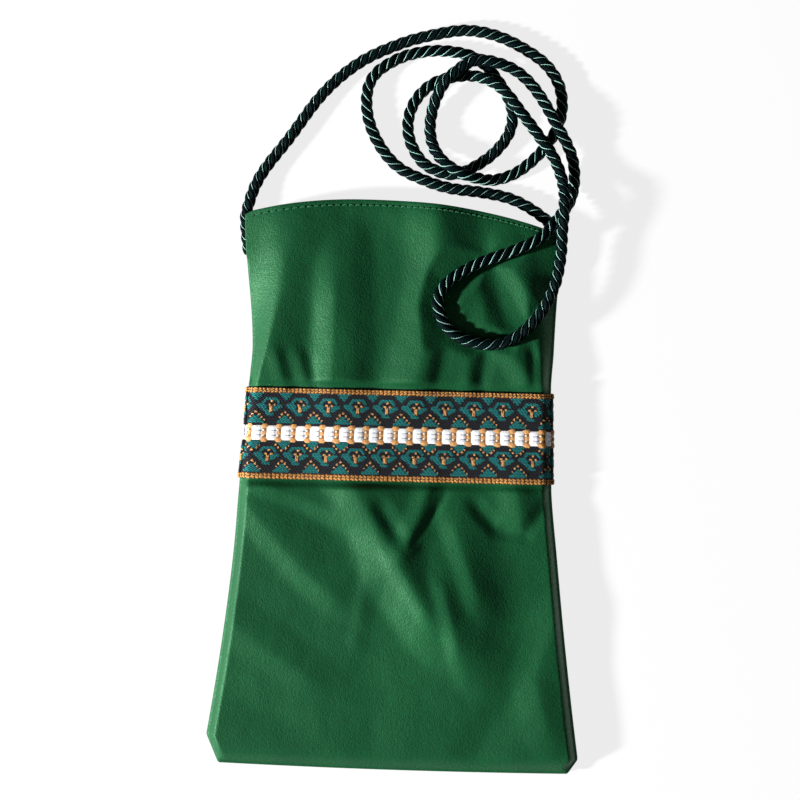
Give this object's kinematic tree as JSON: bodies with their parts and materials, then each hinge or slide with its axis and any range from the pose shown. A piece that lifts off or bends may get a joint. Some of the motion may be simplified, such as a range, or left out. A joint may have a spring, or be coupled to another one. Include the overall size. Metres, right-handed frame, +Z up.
{
  "type": "leather shoulder bag",
  "caption": "Soft green leather shoulder pouch lying flat, with a woven band round its middle and a long twisted cord sewn into its top corners.",
  "frame": {"origin": "centre of the bag's outline without its cord, on the surface it lies on", "axes": "+Y from the bottom edge to the mouth, +X to the right of the front, +Z up from the surface through the front"},
  "size_m": [0.2008, 0.4051, 0.0211],
  "materials": {
    "green_leather": "soft satin grain",
    "woven_trim": "matt jacquard weave",
    "satin_cord": "satin twisted rope",
    "green_thread": "glossy sewing thread"
  },
  "bodies": {
    "root": {"front_panel": "green_leather", "back_panel": "green_leather", "woven_band": "woven_trim", "shoulder_cord": "satin_cord", "front_mouth_stitching": "green_thread", "back_mouth_stitching": "green_thread"}
  },
  "joints": []
}
